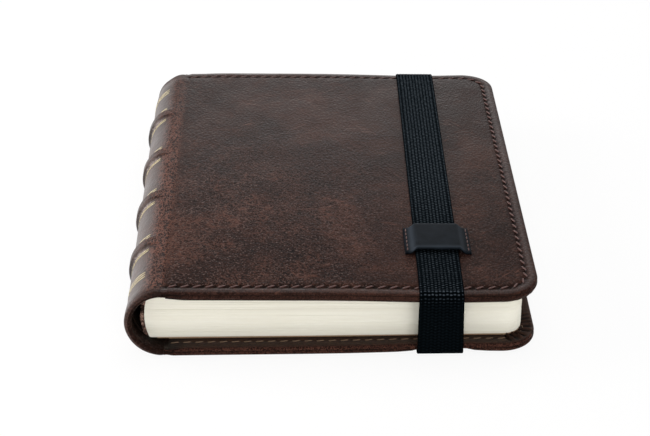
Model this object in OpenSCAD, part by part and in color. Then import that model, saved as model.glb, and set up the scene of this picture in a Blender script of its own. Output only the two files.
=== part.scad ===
// Leather notebook with a round spine, raised bands and an elastic closing band.
// The back cover lies on the table, the spine is on the left, and the tail edge faces the reader.

/* [Book block] */
// Width of a page, from the crown of the rounded back to the fore edge
page_w = 132; // [105:0.5:160]
// Height of a page, from tail to head
page_l = 163; // [130:1:220]
// Thickness of one sewn section
section_t = 1.7; // [1.3:0.05:2.3]
// Radius of the pages' fore corners
page_corner_r = 7; // [3:0.5:12]
// How far the crown of the rounded back stands out past its two edges
back_rise = 2.9; // [2:0.1:3.4]
// Thickness of a flyleaf
flyleaf_t = 0.3; // [0.2:0.05:0.5]
// Thickness of a pasted end sheet
pastedown_t = 0.2; // [0.1:0.05:0.4]
// Thickness of the cloth on the rounded back
cloth_t = 0.5; // [0.3:0.05:0.7]
// Diameter of the sewing thread in a fold
fold_thread_d = 0.6; // [0.4:0.05:0.8]

/* [Covers] */
// Thickness of the leather
leather_t = 1.5; // [1.3:0.05:2]
// Thickness of the board in a cover
board_t = 0.9; // [0.6:0.05:1.4]
// Thickness of the lining
lining_t = 0.5; // [0.3:0.05:0.8]
// Width of the solid leather rim outside the board
rim_w = 7; // [6.5:0.1:9]
// Radius of the covers' fore corners
corner_r = 12; // [10:0.5:16]
// How far a cover stands past the pages at head and tail
square_ends = 7; // [4:0.25:9]
// How far a cover stands past the pages at the fore edge
square_fore = 4.75; // [4.5:0.25:8]
// Width of the unstiffened leather beside each joint
joint_w = 1.5; // [1.5:0.1:3]
// How far the crown of the rounded back lies behind the joints
block_set = 6.5; // [5:0.1:6.8]
// Free height between the top flyleaf and the front cover
leaf_gap = 2.5; // [2.3:0.1:3.5]

/* [Stitching] */
// Distance from one stitch to the next
stitch_pitch = 4.2; // [3:0.1:6]
// Length of thread that shows in one stitch
stitch_l = 3; // [2:0.1:4]
// Thickness of the thread
thread_t = 0.5; // [0.4:0.05:0.6]
// Distance from a cover's edge to its sewn row
stitch_inset = 4.3; // [4:0.1:5.5]
// Distance from the joint to the first stitch
stitch_start = 1.6; // [1.6:0.1:6]

/* [Spine] */
// Thickness of the spine liner
liner_t = 1; // [0.8:0.05:1.1]
// Length of leather turned in at head and tail
turn_in = 8; // [5:0.5:12]
// Width of a raised band at its foot
band_w = 8; // [6:0.25:9]
// Height of a raised band
band_h = 1.2; // [0.8:0.1:1.6]
// Width of the slope on each side of a raised band
band_slope = 2; // [1.8:0.1:2.8]
// Distance from one raised band to the next
band_pitch = 34.5; // [27:0.5:42]
// Width of a gold rule
rule_w = 0.5; // [0.3:0.05:0.8]
// Thickness of the gold
rule_t = 0.1; // [0.1:0.05:0.2]
// Distance from the foot of a band to the rule beside it
rule_gap = 0.9; // [0.8:0.1:2]
// Distance from the end of the spine to the middle of a triple rule
triple_inset = 15; // [12:0.5:18]
// Distance between the lines of a triple rule
triple_pitch = 1.5; // [1:0.1:2]
// Angle that the rules leave free beside each joint
rule_free = 24; // [10:1:40]

/* [Closing band] */
// Width of the elastic band
elastic_w = 16; // [10:0.5:22]
// Thickness of the elastic band
elastic_t = 0.9; // [0.6:0.05:0.95]
// Distance from the fore edge to the middle of the elastic band
elastic_inset = 33.2; // [28:0.1:50]
// Free height over the elastic band in the keeper
keeper_room = 0.9; // [0.15:0.05:1.5]
// Length of the flat tab at each end of the keeper
keeper_tab = 1.8; // [1.8:0.1:5]
// Width of the keeper, along the band
keeper_w = 17; // [12:0.5:26]
// Thickness of the keeper's leather
keeper_t = 1.3; // [0.8:0.05:1.8]
// Distance from the tail edge to the middle of the keeper
keeper_from_tail = 33.8; // [26:0.1:60]
// Stitches in each of the keeper's rows
keeper_stitches_n = 5; // [3:1:6]
// Distance from the keeper's end to its sewn row
keeper_row_inset = 0.9; // [0.8:0.1:1.6]

/* [Hidden] */
$fn = 96;

// Clearances
fit = 0.1;
band_fit = 0.15;
edge_fit = 0.25;
groove_fit = 0.2;
thread_sink = 0.05;
// How far a cut runs past the face that it opens
cut_over = 1;

// Counts that the names depend on
section_count = 10;
turned_count = 3;
band_count = 4;
triple_count = 3;

// Heights, from the table upwards
cover_t = leather_t + board_t + lining_t;
flyleaf_z = cover_t + pastedown_t;
block_z = flyleaf_t + flyleaf_z;
block_t = section_count * section_t;
block_top = block_z + block_t;
block_mid = block_z + block_t / 2;
book_t = block_top + flyleaf_t + leaf_gap + pastedown_t + cover_t;

// Plan sizes, with X from the joints and Y from the middle of the length
page_fore = page_w - block_set;
cover_w = page_fore + square_fore;
cover_l = page_l + 2 * square_ends;
lining_inset = 1.2;
pastedown_inset = rim_w;
elastic_x = cover_w - elastic_inset;
keeper_y = keeper_from_tail - cover_l / 2;

// Spine radii about the line midway between the joints
spine_r = book_t / 2;
liner_r = spine_r - leather_t;
hollow_r = liner_r - liner_t;
fold_in = leather_t * tan(atan(band_h / band_slope) / 2);
// Angles beside each joint that the bands, and the strips in them, leave free, so that no band passes a cover
band_ease = 2;
band_free = acos(spine_r / (spine_r + band_h)) + band_ease;
core_free = band_free + leather_t / spine_r * 180 / PI;

// Rounded back of the block
back_r = (pow(block_t / 2, 2) + pow(back_rise, 2)) / (2 * back_rise);
back_x = back_r - block_set;
fold_thread_inset = 1.2;
fold_thread_short = 12;
cloth_glue = 0.05;
cloth_margin = 0.6;
cloth_stop = 2;
flyleaf_back = 1;

// Sewn rows
groove_w = thread_t + 2 * groove_fit;
groove_t = thread_t + thread_sink;
row_y = cover_l / 2 - stitch_inset;
row_arc_r = corner_r - stitch_inset;
row_corner_x = cover_w - corner_r;
row_corner_y = cover_l / 2 - corner_r;
tail_run = row_corner_x - stitch_start;
arc_run = row_arc_r * PI / 2;
fore_run = 2 * row_corner_y;
row_run = 2 * tail_run + 2 * arc_run + fore_run;
stitch_count = floor(row_run / stitch_pitch);

// Elastic band and keeper
channel_t = elastic_t + fit;
channel_fit = 0.3;
loop_rise = elastic_t + keeper_room;
loop_half = elastic_w / 2 + 2 * band_fit;
loop_slope = 65;
loop_run = loop_rise / tan(loop_slope);
mitre = keeper_t * tan(loop_slope / 2);
keeper_half_l = loop_half + loop_run + mitre + keeper_tab;
keeper_row_x = keeper_half_l - keeper_row_inset;
// Half of the keeper's section, from the middle of its top round the tab to the middle of its underside
keeper_half = [
    [loop_half + mitre, loop_rise + keeper_t],
    [loop_half + loop_run + mitre, keeper_t],
    [keeper_half_l, keeper_t],
    [keeper_half_l, 0],
    [loop_half + loop_run, 0],
    [loop_half, loop_rise]];
keeper_stitch_l = 2.4;
keeper_groove_t = 0.3;
keeper_end = 1.6;

// The origin is at the middle of the whole object, on the table
origin_x = (cover_w - spine_r - band_h) / 2;

// Colours
brown_leather = [0.25, 0.18, 0.16];
worn_leather = [0.32, 0.21, 0.17];
black_leather = [0.15, 0.16, 0.18];
thread_brown = [0.43, 0.29, 0.27];
paper_cream = [0.88, 0.85, 0.77];
end_tan = [0.62, 0.48, 0.34];
cloth_brown = [0.3, 0.19, 0.13];
board_grey = [0.55, 0.5, 0.45];
elastic_black = [0.1, 0.12, 0.14];
gold = [0.82, 0.74, 0.47];

function section_name(k) = str("section_", k < 10 ? "0" : "", k);
function band_name(i) = str("raised_band_", i);

// Height of the underside of section k, counted from the table
function section_z(k) = block_z + (k - 1) * section_t;
// Fold of section k, where its two corners lie within the rounded back
function section_reach(k) = abs(section_z(k) + section_t / 2 - block_mid) + section_t / 2;
function section_x(k) = back_x - sqrt(pow(back_r, 2) - pow(section_reach(k), 2));
function band_y(i) = (i - (band_count + 1) / 2) * band_pitch;

// Place and heading of a stitch at distance s along the row, from the tail joint round to the head joint
function arc_turn(s) = s / row_arc_r * 180 / PI;
function stitch_at(s) =
    s < tail_run ? [stitch_start + s, -row_y, 0] :
    s < tail_run + arc_run ? tail_corner(arc_turn(s - tail_run)) :
    s < tail_run + arc_run + fore_run ?
        [cover_w - stitch_inset, s - tail_run - arc_run - row_corner_y, 90] :
    s < row_run - tail_run ? head_corner(arc_turn(s - tail_run - arc_run - fore_run)) :
    [stitch_start + row_run - s, row_y, 180];
function tail_corner(a) = [row_corner_x + row_arc_r * sin(a), -row_corner_y - row_arc_r * cos(a), a];
function head_corner(a) = [row_corner_x + row_arc_r * cos(a), row_corner_y + row_arc_r * sin(a), 90 + a];

// Moves a piece from the joints' frame to the part's own frame
module book() {
    translate([-origin_x, 0, 0]) children();
}

// Turns a back cover piece over into the front cover's place
module as_front() {
    translate([0, 0, book_t]) mirror([0, 0, 1]) children();
}

// A sheet from x0 to x1, middled on its length l, with its two fore corners rounded
module sheet_plan(x0, x1, l, r) {
    translate([x0, -l / 2]) square([x1 - r - x0, l]);
    translate([x0, r - l / 2]) square([x1 - x0, l - 2 * r]);
    for (side = [-1, 1]) translate([x1 - r, side * (l / 2 - r)]) circle(r);
}

// The cover's outline, drawn in by an inset on its three free edges
module cover_plan(x0, inset) {
    sheet_plan(x0, cover_w - inset, cover_l - 2 * inset, corner_r - inset);
}

module page_plan(x0) {
    sheet_plan(x0, page_fore, page_l, page_corner_r);
}

// Revolves a profile of radius and length about the line midway between the joints
module round_spine(free) {
    translate([0, 0, spine_r]) rotate([90, 0, 0])
        rotate_extrude(angle = 180 - 2 * free, start = 90 + free) children();
}

// Sewn groove in the outer face
module sewn_groove() {
    translate([0, 0, -cut_over]) linear_extrude(groove_t + cut_over) difference() {
        cover_plan(stitch_start - stitch_pitch / 4, stitch_inset - groove_w / 2);
        cover_plan(0, stitch_inset + groove_w / 2);
    }
}

// Covers, drawn as the back cover with the outer face on the table
module cover_leather() {
    difference() {
        linear_extrude(leather_t + board_t) cover_plan(0, 0);
        translate([0, 0, leather_t]) linear_extrude(board_t + cut_over) cover_plan(-cut_over, rim_w);
        sewn_groove();
    }
}

module cover_board() {
    translate([0, 0, leather_t]) linear_extrude(board_t) cover_plan(joint_w, rim_w + fit);
}

module cover_lining() {
    translate([0, 0, leather_t + board_t]) linear_extrude(lining_t) cover_plan(joint_w, lining_inset);
}

module cover_stitches() {
    for (i = [0:stitch_count - 1]) {
        place = stitch_at((i + 0.5) * row_run / stitch_count);
        translate([place[0], place[1], thread_sink]) rotate(place[2])
            translate([-stitch_l / 2, -thread_t / 2, 0]) cube([stitch_l, thread_t, thread_t]);
    }
}

module cover_pastedown() {
    translate([0, 0, cover_t]) linear_extrude(pastedown_t) cover_plan(joint_w, pastedown_inset);
}

// Channel that the elastic band beds into, across the outer face of the back cover
module elastic_channel() {
    width = elastic_w + 2 * channel_fit;
    translate([elastic_x - width / 2, -cover_l, -cut_over]) cube([width, 2 * cover_l, channel_t + cut_over]);
}

module back_leather() color(brown_leather) book() difference() {
    cover_leather();
    elastic_channel();
}

module back_board() color(board_grey) book() cover_board();

module back_lining() color(worn_leather) book() cover_lining();

module back_stitches() color(thread_brown) book() difference() {
    cover_stitches();
    elastic_channel();
}

module rear_pastedown() color(end_tan) book() cover_pastedown();

module front_leather() color(brown_leather) book() as_front() cover_leather();

module front_board() color(board_grey) book() as_front() cover_board();

module front_lining() color(worn_leather) book() as_front() cover_lining();

module front_stitches() color(thread_brown) book() as_front() cover_stitches();

module front_pastedown() color(end_tan) book() as_front() cover_pastedown();

// Spine
module spine_leather() color(worn_leather) book() difference() {
    union() {
        round_spine(0) polygon([
            [spine_r, -cover_l / 2],
            [spine_r, cover_l / 2],
            [hollow_r, cover_l / 2],
            [hollow_r, cover_l / 2 - turn_in],
            [liner_r, cover_l / 2 - turn_in],
            [liner_r, turn_in - cover_l / 2],
            [hollow_r, turn_in - cover_l / 2],
            [hollow_r, -cover_l / 2]]);
        for (i = [1:band_count]) round_spine(band_free) polygon(bump_points(i));
    }
    for (i = [1:band_count]) round_spine(core_free) polygon(core_points(i));
}

// Section through the leather that rises over a raised band
function bump_points(i) = [
    [spine_r - leather_t / 2, band_y(i) - band_w / 2],
    [spine_r, band_y(i) - band_w / 2],
    [spine_r + band_h, band_y(i) - band_w / 2 + band_slope],
    [spine_r + band_h, band_y(i) + band_w / 2 - band_slope],
    [spine_r, band_y(i) + band_w / 2],
    [spine_r - leather_t / 2, band_y(i) + band_w / 2]];

// Section through the strip under a raised band
function core_points(i) = [
    [liner_r, band_y(i) + band_w / 2 - fold_in],
    [liner_r + band_h, band_y(i) + band_w / 2 - band_slope - fold_in],
    [liner_r + band_h, band_y(i) - band_w / 2 + band_slope + fold_in],
    [liner_r, band_y(i) - band_w / 2 + fold_in]];

module spine_liner() color(board_grey) book() round_spine(0)
    translate([hollow_r, turn_in + fit - cover_l / 2]) square([liner_t, cover_l - 2 * turn_in - 2 * fit]);

module raised_band(i) color(worn_leather) book() round_spine(core_free) polygon(core_points(i));

module rule(y) {
    translate([spine_r, y - rule_w / 2]) square([rule_t, rule_w]);
}

module gold_rules() color(gold) book() for (side = [-1, 1]) {
    for (i = [1:band_count])
        round_spine(rule_free) rule(band_y(i) + side * (band_w / 2 + rule_gap));
    for (j = [1:triple_count])
        round_spine(rule_free)
            rule(side * (cover_l / 2 - triple_inset) + (j - (triple_count + 1) / 2) * triple_pitch);
}

// Closing band and its keeper
module band_keeper() color(black_leather) book() translate([elastic_x, keeper_y, book_t]) difference() {
    rotate([90, 0, 0]) linear_extrude(keeper_w, center = true) polygon(concat(
        keeper_half,
        [for (i = [len(keeper_half) - 1:-1:0]) [-keeper_half[i][0], keeper_half[i][1]]]));
    for (side = [-1, 1])
        translate([side * keeper_row_x - groove_w / 2, -keeper_w, keeper_t - keeper_groove_t])
            cube([groove_w, 2 * keeper_w, keeper_t]);
}

module keeper_stitches() color(thread_brown) book() translate([elastic_x, keeper_y, book_t]) {
    pitch = (keeper_w - 2 * keeper_end) / keeper_stitches_n;
    for (side = [-1, 1], i = [1:keeper_stitches_n])
        translate([
            side * keeper_row_x - thread_t / 2,
            (i - (keeper_stitches_n + 1) / 2) * pitch - keeper_stitch_l / 2,
            keeper_t - keeper_groove_t])
            cube([thread_t, keeper_stitch_l, thread_t]);
}

module elastic_band() color(elastic_black) book() translate([elastic_x, 0, 0])
    rotate([90, 0, 90]) linear_extrude(elastic_w, center = true) difference() {
        half = cover_l / 2 + edge_fit;
        low = channel_t - elastic_t;
        high = book_t + elastic_t;
        union() {
            translate([-half, low]) square([2 * half, high - low]);
            translate([-half - elastic_t, channel_t]) square([2 * half + 2 * elastic_t, book_t - channel_t]);
            for (side = [-1, 1], z = [channel_t, book_t]) translate([side * half, z]) circle(elastic_t);
        }
        translate([-half, channel_t]) square([2 * half, book_t - channel_t]);
    }

// Book block
module fold_thread(k, d, l) {
    translate([section_x(k) + fold_thread_inset, 0, section_z(k) + section_t / 2]) rotate([90, 0, 0])
        cylinder(h = l, d = d, center = true);
}

module section(k) color(paper_cream) book() difference() {
    translate([0, 0, section_z(k)]) linear_extrude(section_t) page_plan(section_x(k));
    fold_thread(k, fold_thread_d + fit, 2 * page_l);
}

module fold_threads(first, last) color(paper_cream) book()
    for (k = [first:last]) fold_thread(k, fold_thread_d, page_l - 2 * fold_thread_short);

module sewing_threads() fold_threads(1, section_count - turned_count);

module turned_threads() fold_threads(section_count - turned_count + 1, section_count);

// The cloth stops below the opening between the sections that stay and those that turn
module back_cloth() color(cloth_brown) book() {
    top_turn = asin((section_z(section_count - turned_count + 1) - cloth_stop - block_mid) / back_r);
    low_turn = asin((block_t / 2 - cloth_margin) / back_r);
    translate([back_x, 0, block_mid]) rotate([90, 0, 0])
        rotate_extrude(angle = top_turn + low_turn, start = 180 - top_turn)
            translate([back_r + cloth_glue, -page_l / 2]) square([cloth_t, page_l]);
}

// A loose end leaf at height z, hinged just inside the fold of its section k
module flyleaf(z, k) {
    translate([0, 0, z]) linear_extrude(flyleaf_t) page_plan(section_x(k) + flyleaf_back);
}

module rear_flyleaf() color(end_tan) book() flyleaf(flyleaf_z, 1);

module front_flyleaf() color(end_tan) book() flyleaf(block_top, section_count);

back_leather();
back_board();
back_lining();
back_stitches();
rear_pastedown();
spine_leather();
spine_liner();
for (i = [1:band_count]) raised_band(i);
gold_rules();
front_leather();
front_board();
front_lining();
front_stitches();
front_pastedown();
band_keeper();
keeper_stitches();
elastic_band();
for (k = [1:section_count]) section(k);
sewing_threads();
turned_threads();
back_cloth();
rear_flyleaf();
front_flyleaf();
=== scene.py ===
"""A leather notebook: sewn leather case, rounded spine with raised bands, paper block, elastic and keeper.

Lengths are in millimetres, in the part's own frame, until a mesh is made. X runs from the spine to the fore
edge, Y from tail to head and Z up through the front cover. Each piece is a grid of points worked out as whole
arrays: a height over a cover, a radius round the spine, or a section carried along a path.
"""
import math

import bpy
import numpy as np
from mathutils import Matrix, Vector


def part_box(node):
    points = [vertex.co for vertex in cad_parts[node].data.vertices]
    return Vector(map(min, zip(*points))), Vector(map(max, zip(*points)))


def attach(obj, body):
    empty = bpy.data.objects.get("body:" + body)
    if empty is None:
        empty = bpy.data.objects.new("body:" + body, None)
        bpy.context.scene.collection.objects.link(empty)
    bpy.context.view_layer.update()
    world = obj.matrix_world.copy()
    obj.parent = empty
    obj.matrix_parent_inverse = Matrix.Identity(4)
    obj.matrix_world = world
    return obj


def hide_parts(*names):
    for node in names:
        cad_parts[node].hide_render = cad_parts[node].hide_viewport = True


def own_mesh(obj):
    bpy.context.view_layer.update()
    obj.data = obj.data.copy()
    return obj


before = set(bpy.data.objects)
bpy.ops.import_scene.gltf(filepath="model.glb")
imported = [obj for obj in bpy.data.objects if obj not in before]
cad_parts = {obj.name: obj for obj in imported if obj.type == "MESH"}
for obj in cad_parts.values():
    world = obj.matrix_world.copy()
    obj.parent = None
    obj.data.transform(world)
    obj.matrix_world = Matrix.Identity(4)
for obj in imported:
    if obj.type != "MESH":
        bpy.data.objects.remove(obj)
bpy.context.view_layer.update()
MM = 0.001


def node_box(node):
    """Lowest and highest corner of a node at rest, in millimetres."""
    low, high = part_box(node)
    return np.array(low) / MM, np.array(high) / MM


# Sizes read from the frame
COVER_LOW, COVER_HIGH = node_box("front_leather")
JOINT_X = COVER_LOW[0]
FORE_X, HALF_L, BOOK_T = COVER_HIGH
RIM_T = BOOK_T - COVER_LOW[2]
LINING_LOW, LINING_HIGH = node_box("back_lining")
COVER_T = LINING_HIGH[2]
SPINE_R = BOOK_T / 2
LINER_R = JOINT_X - node_box("spine_liner")[0][0]
LINER_HALF = node_box("spine_liner")[1][1]
BAND_NODES = [f"raised_band_{i}" for i in range(1, 5)]
BAND_PLACES = [float(np.mean(node_box(node), axis=0)[1]) for node in BAND_NODES]
ELASTIC_LOW, ELASTIC_HIGH = node_box("elastic_band")
ELASTIC_X = (ELASTIC_LOW[0] + ELASTIC_HIGH[0]) / 2
ELASTIC_W = ELASTIC_HIGH[0] - ELASTIC_LOW[0]
ELASTIC_T = ELASTIC_HIGH[2] - BOOK_T
KEEPER_LOW, KEEPER_HIGH = node_box("band_keeper")
SECTION_BOXES = [node_box(f"section_{k:02d}") for k in range(1, 11)]
FIRST_TURNED = 8
FOLD_X, _, BLOCK_LOW = SECTION_BOXES[0][0]
PAGE_FORE, PAGE_HALF, _ = SECTION_BOXES[0][1]
BLOCK_HIGH = SECTION_BOXES[-1][1][2]
BACK_CROWN = min(low[0] for low, high in SECTION_BOXES)
CLOTH_LOW, CLOTH_HIGH = node_box("back_cloth")

# Covers and their sewing
CORNER_R = 13.0
FAR_X = FORE_X - CORNER_R
FAR_Y = HALF_L - CORNER_R
STITCH_INSET = 4.3
STITCH_START = 1.6
STITCH_PITCH = 4.2
STITCH_L = 3.7
STITCH_SLANT = math.radians(22)
THREAD_R = 0.36
RIM_BAND = 9.0
RIDGE_INSET = 2.0
EDGE_ROUND = 1.3
EDGE_SQUARE = 0.6
EDGE_DROOP = 0.7
EDGE_CRACK = 0.6
LINING_INSET = 0.55
BOARD_INSET = 7.1
PAST_JOINT = 0.6

# Mesh points along the straight tail or head, a corner and the fore edge, and rows beside the edge
LEATHER_MESH = (118, 16, 164), 24
LINING_MESH = (70, 60, 150), 16
FLAT_MESH = (30, 12, 30), 3

# Spine
HOLLOW_R = LINER_R - 1.0
TURN_IN = 8.0
PANEL_SINK = 0.4
BAND_RISE = 0.75
RULE_INSET = 15.0
RULE_FROM_BAND = 4.5
PAIR_GAP = 1.2
THREE_GAP = 1.5
RULE_HALF = 0.15
RULE_FREE = math.radians(29)

# Book block
PAGE_CORNER = 7.0
LEAVES = 12

# Elastic and keeper
HIGH_BEND = 2.6
LOW_BEND = 1.5
RIBS = 10
SELVEDGE = 0.82
PICK_PITCH = 1.25
TWO_RIBS = 2.62
KEEPER_T = 1.25

# How the closed book is drawn together: the front cover leans to the fore edge, and the leaves with it
FRONT_LEAN = 2.0
LEAF_WEDGE = 0.06
ELASTIC_SKEW = 0.9


# Meshes

def xyz(x, y, z):
    """Points from three coordinates, each spread over the shape that they share."""
    return np.stack(np.broadcast_arrays(x, y, z), -1)


def there_and_back(outer, inner):
    """Closed loops, one for each row: the outer row, then the inner row run back."""
    return np.concatenate([outer, inner[:, ::-1]], 1)


def grid_faces(rows, cols, wrap_rows=False, wrap_cols=False):
    """Quads between neighbours of a rows by cols grid, joined end to end in a direction that wraps."""
    r = np.arange(rows if wrap_rows else rows - 1)
    c = np.arange(cols if wrap_cols else cols - 1)
    r, c = np.meshgrid(r, c, indexing="ij")
    below = (r + 1) % rows
    beside = (c + 1) % cols
    corners = [r * cols + c, r * cols + beside, below * cols + beside, below * cols + c]
    return np.stack(corners, axis=-1).reshape(-1, 4)


def pair_faces(loop):
    """Quads that close a flat loop of points whose second half runs back beside its first half."""
    half = len(loop) // 2
    near = loop[:half]
    far = loop[::-1][:half]
    return np.stack([near[:-1], near[1:], far[1:], far[:-1]], axis=-1)


def swept(points, wrap_path=False):
    """Faces of a closed section carried along a path, with points[path, section]. Open ends are closed."""
    rows, cols = points.shape[:2]
    faces = [grid_faces(rows, cols, wrap_path, True)]
    if not wrap_path:
        ends = np.arange(rows * cols).reshape(rows, cols)
        faces += [pair_faces(ends[0])[:, ::-1], pair_faces(ends[-1])]
    return np.concatenate(faces)


def repeated(shape, count):
    """Faces of a count of like swept shapes, whose points follow one another."""
    step = shape[..., 0].size
    return (swept(shape)[None] + step * np.arange(count)[:, None, None]).reshape(-1, 4)


def turned_out(points, faces):
    """Faces in the order that makes the closed surface's volume, summed over its triangles, positive."""
    a, b, c, d = (points[faces[:, i]] for i in range(4))
    volume = np.einsum("ij,ij->", a, np.cross(b, c)) + np.einsum("ij,ij->", a, np.cross(c, d))
    return faces if volume > 0 else faces[:, ::-1]


def piece(name, points, faces, material, body, slot, stands_for=(), crisp=40, **fields):
    """A mesh of quads at the origin, smooth up to an angle. Each field is a number stored on its points."""
    points = np.asarray(points, float).reshape(-1, 3)
    faces = turned_out(points, np.asarray(faces))
    mesh = bpy.data.meshes.new(name)
    mesh.vertices.add(len(points))
    mesh.vertices.foreach_set("co", (points * MM).astype(np.float32).ravel())
    mesh.loops.add(faces.size)
    mesh.loops.foreach_set("vertex_index", faces.astype(np.int32).ravel())
    mesh.polygons.add(len(faces))
    mesh.polygons.foreach_set("loop_start", np.arange(0, faces.size, 4, dtype=np.int32))
    mesh.polygons.foreach_set("use_smooth", np.ones(len(faces), bool))
    for field, values in fields.items():
        layer = mesh.attributes.new(field, "FLOAT", "POINT")
        per_point = np.broadcast_to(np.ravel(values), len(points))
        layer.data.foreach_set("value", per_point.astype(np.float32))
    mesh.update(calc_edges=True)
    mesh.validate()
    mesh.set_sharp_from_angle(angle=math.radians(crisp))
    mesh.materials.append(material)
    made = bpy.data.objects.new(name, mesh)
    bpy.context.scene.collection.objects.link(made)
    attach(made, body)
    if stands_for:
        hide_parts(*stands_for)
    return made


# Curves

def shares(count):
    """A count of even shares, from none up to the last one before the whole."""
    return np.linspace(0, 1, count, endpoint=False)


def bump(offset, width):
    """A smooth hump of height one at no offset, a bell curve of the given width."""
    return np.exp(-(offset / width) ** 2)


def ease(low, high, value):
    """Zero below low, one above high, and a smooth step between them."""
    t = np.clip((value - low) / (high - low), 0, 1)
    return t * t * (3 - 2 * t)


def rounded(share, start, depth):
    """One along a span from -1 to 1, falling as part of an ellipse from the start to both ends."""
    past = np.clip((np.abs(share) - start) / (1 - start), 0, 1)
    return np.sqrt(1 - depth * past ** 2)


def waves(x, y, seed, size):
    """Slow waves of unit size: a sum of sines whose directions and phases follow from the seed."""
    rng = np.random.default_rng(seed)
    count = 7
    total = np.zeros(np.broadcast(x, y).shape)
    for _ in range(count):
        turn = rng.uniform(0, 2 * np.pi)
        length = size * rng.uniform(0.6, 1.8)
        along = (x * np.cos(turn) + y * np.sin(turn)) * 2 * np.pi / length
        total += np.sin(along + rng.uniform(0, 2 * np.pi)) / count ** 0.5
    return total


def three_edges(run, arc, fore, near_x, far_x, far_y):
    """Tail, fore edge and head of a sheet with round corners, from its near side round to its near side.

    A point of the outline is a corner centre plus the corner radius along its outward direction: the straight
    runs move the centre and the quarter arcs turn the direction. Run, arc and fore are shares of the way
    along each part. Gives the place along the five parts, the centres and the outward directions.
    """
    part = np.concatenate([run, 1 + arc, 2 + fore, 3 + arc, [4], 5 - run[::-1]])
    knots = np.arange(6)
    x = np.interp(part, knots, [near_x, far_x, far_x, far_x, far_x, near_x])
    y = np.interp(part, knots, [-far_y, -far_y, -far_y, far_y, far_y, far_y])
    turn = np.radians(np.interp(part, knots, [-90, -90, 0, 0, 90, 90]))
    return part, np.stack([x, y], -1), np.stack([np.cos(turn), np.sin(turn)], -1)


# Node trees

class Nodes:
    """A node tree, with steps that each add to it and give a result to use further on."""

    def __init__(self, tree):
        self.tree = tree

    def fill(self, node, values):
        """Sets sockets by number or by name. A value that is a socket is linked."""
        for key, value in values.items():
            socket = node.inputs[key.replace("_", " ") if isinstance(key, str) else key]
            if isinstance(value, bpy.types.NodeSocket):
                self.tree.links.new(value, socket)
            else:
                socket.default_value = (*value, 1) if socket.type == "RGBA" else value
        return node

    def put(self, kind, *values, props=None, **named):
        """Adds a node and fills its sockets in order or by name."""
        node = self.tree.nodes.new(kind)
        for key, value in (props or {}).items():
            setattr(node, key, value)
        return self.fill(node, {**dict(enumerate(values)), **named})

    def maths(self, kind, a, b=0.0):
        """One arithmetic step on numbers."""
        return self.put("ShaderNodeMath", a, b, props={"operation": kind}).outputs[0]

    def times(self, product, *factors):
        """Numbers multiplied."""
        for factor in factors:
            product = self.maths("MULTIPLY", product, factor)
        return product

    def plus(self, total, *terms):
        """Numbers added."""
        for term in terms:
            total = self.maths("ADD", total, term)
        return total

    def from_half(self, value):
        """How far a value is from one half."""
        return self.maths("ABSOLUTE", self.maths("SUBTRACT", value, 0.5))

    def place(self, scale=(1, 1, 1), turn=(0, 0, 0)):
        """The piece's own coordinates in metres, stretched and turned."""
        source = self.put("ShaderNodeTexCoord").outputs["Object"]
        return self.put("ShaderNodeMapping", source, Rotation=turn, Scale=scale).outputs[0]

    def streaks(self, angle, stretch):
        """The piece's own coordinates turned by an angle, then drawn out along the turned first axis."""
        spun = self.place(turn=(0, 0, angle))
        return self.put("ShaderNodeMapping", spun, Scale=(1 / stretch, 1, 1)).outputs[0]

    def noise(self, vector, size, detail=3.0, rough=0.5, distort=0.0):
        """Cloudy values about one half, with features of the given size in millimetres."""
        made = self.put("ShaderNodeTexNoise", Vector=vector, Scale=1 / (size * MM), Detail=detail,
                        Roughness=rough, Distortion=distort)
        return made.outputs["Fac"]

    def pebbles(self, vector, size):
        """Softened distance to the middles of cells of the given size in millimetres."""
        made = self.put("ShaderNodeTexVoronoi", Vector=vector, Scale=1 / (size * MM),
                        props={"feature": "SMOOTH_F1"})
        return made.outputs["Distance"]

    def field(self, name):
        """A number stored on the piece's points."""
        return self.put("ShaderNodeAttribute", props={"attribute_name": name}).outputs["Fac"]

    def spread(self, value, low, high, out_low=0.0, out_high=1.0):
        """Maps a range of values smoothly to another range, held at its ends."""
        made = self.put("ShaderNodeMapRange", value, low, high, out_low, out_high,
                        props={"interpolation_type": "SMOOTHSTEP"})
        return made.outputs[0]

    def shades(self, value, *stops):
        """A colour ramp through pairs of a value and a colour."""
        node = self.put("ShaderNodeValToRGB", value)
        ramp = node.color_ramp
        while len(ramp.elements) < len(stops):
            ramp.elements.new(0.5)
        for element, (at, colour) in zip(ramp.elements, stops):
            element.position = at
            element.color = (*colour, 1)
        return node.outputs[0]

    def mixed(self, amount, first, second, kind="MIX"):
        """Two colours mixed by an amount."""
        node = self.put("ShaderNodeMix", props={"data_type": "RGBA", "blend_type": kind})
        return self.fill(node, {0: amount, 6: first, 7: second}).outputs[2]

    def raised(self, height, strength, depth):
        """A bump from a height, where depth is in millimetres."""
        return self.put("ShaderNodeBump", Strength=strength, Distance=depth * MM, Height=height).outputs[0]

    def seen(self):
        """One for rays from the camera, from a mirror or through a clear surface, and none for other rays."""
        rays = self.put("ShaderNodeLightPath").outputs
        straight = self.maths("MAXIMUM", rays["Is Camera Ray"], rays["Is Glossy Ray"])
        return self.maths("MAXIMUM", straight, rays["Is Transmission Ray"])


class Finish(Nodes):
    """A new material and its tree."""

    def __init__(self, name):
        self.material = bpy.data.materials.new(name)
        self.material.use_nodes = True
        super().__init__(self.material.node_tree)
        self.shader = self.tree.nodes["Principled BSDF"]

    def surface(self, **values):
        """Fills the surface shader's sockets by name and gives the material."""
        self.fill(self.shader, values)
        return self.material


# Finishes

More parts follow.
